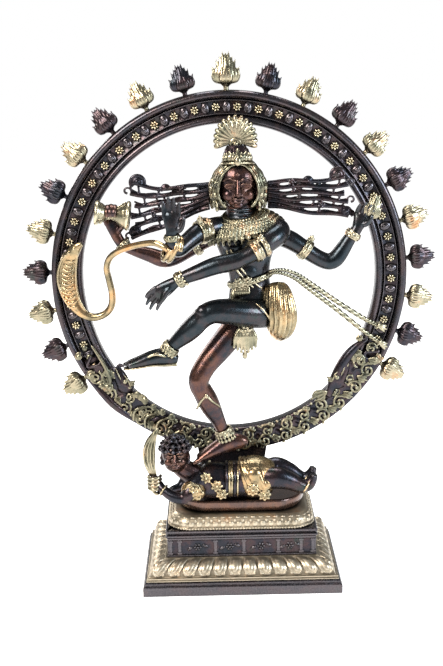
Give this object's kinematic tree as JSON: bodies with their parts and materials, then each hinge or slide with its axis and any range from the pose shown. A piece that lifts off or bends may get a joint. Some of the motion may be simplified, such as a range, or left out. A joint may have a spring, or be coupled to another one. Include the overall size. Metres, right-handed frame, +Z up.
{
  "type": "cast dancer statue with flame aureole",
  "caption": "Cast brass four-armed dancer on a lying dwarf, in a lift-off ring of flames, on a stepped hollow base.",
  "frame": {"origin": "centre of the bounding box's bottom, on the floor plane", "axes": "+Z up; -Y is the front that the figure faces; +X to the viewer's right"},
  "size_m": [0.5991, 0.196, 0.7626],
  "materials": {
    "polished_brass": "aged, hand polished",
    "dark_patina": "dark brown-black patina, waxed",
    "warm_patina": "copper-brown patina, waxed",
    "fastener_steel": "plain"
  },
  "bodies": {
    "statue": {"arm_back_left": "dark_patina", "arm_back_right": "warm_patina", "arm_front_left": "dark_patina", "arm_front_right": "dark_patina", "collar": "polished_brass", "cornice": "dark_patina", "cushion_tier": "polished_brass", "dado": "dark_patina", "drum": "polished_brass", "dwarf_body": "dark_patina", "dwarf_cobra": "polished_brass", "dwarf_head": "warm_patina", "feather_crown": "polished_brass", "hair_fan_left": "dark_patina", "hair_fan_right": "dark_patina", "hand_flame": "polished_brass", "head": "warm_patina", "headdress": "polished_brass", "hip_cloth": "polished_brass", "oval_plate": "dark_patina", "petal_tier": "polished_brass", "plate_nut_left": "fastener_steel", "plate_nut_right": "fastener_steel", "plate_stud_left": "fastener_steel", "plate_stud_right": "fastener_steel", "plinth_slab": "dark_patina", "raised_leg": "dark_patina", "sash_lower": "polished_brass", "sash_upper": "polished_brass", "snake": "polished_brass", "standing_leg": "warm_patina", "tassel": "polished_brass", "torso": "warm_patina", "waist_cloth": "polished_brass"},
    "aureole": {"ring_casting": "dark_patina", "rosette_band": "polished_brass", "makara_scroll_left": "polished_brass", "makara_scroll_right": "polished_brass", "ring_neck": "dark_patina", "flame_01": "polished_brass", "flame_02": "dark_patina", "flame_03": "polished_brass", "flame_04": "dark_patina", "flame_05": "polished_brass", "flame_06": "dark_patina", "flame_07": "polished_brass", "flame_08": "dark_patina", "flame_09": "polished_brass", "flame_10": "dark_patina", "flame_11": "polished_brass", "flame_12": "dark_patina", "flame_13": "polished_brass", "flame_14": "dark_patina", "flame_15": "polished_brass", "flame_16": "dark_patina", "flame_17": "polished_brass", "flame_18": "dark_patina", "flame_19": "polished_brass", "flame_20": "dark_patina", "flame_21": "polished_brass"}
  },
  "joints": [
    {"name": "aureole_lift", "type": "slide", "parent": "statue", "child": "aureole", "axis": [0, 0, 1], "range_m": [0, 0.035]}
  ]
}
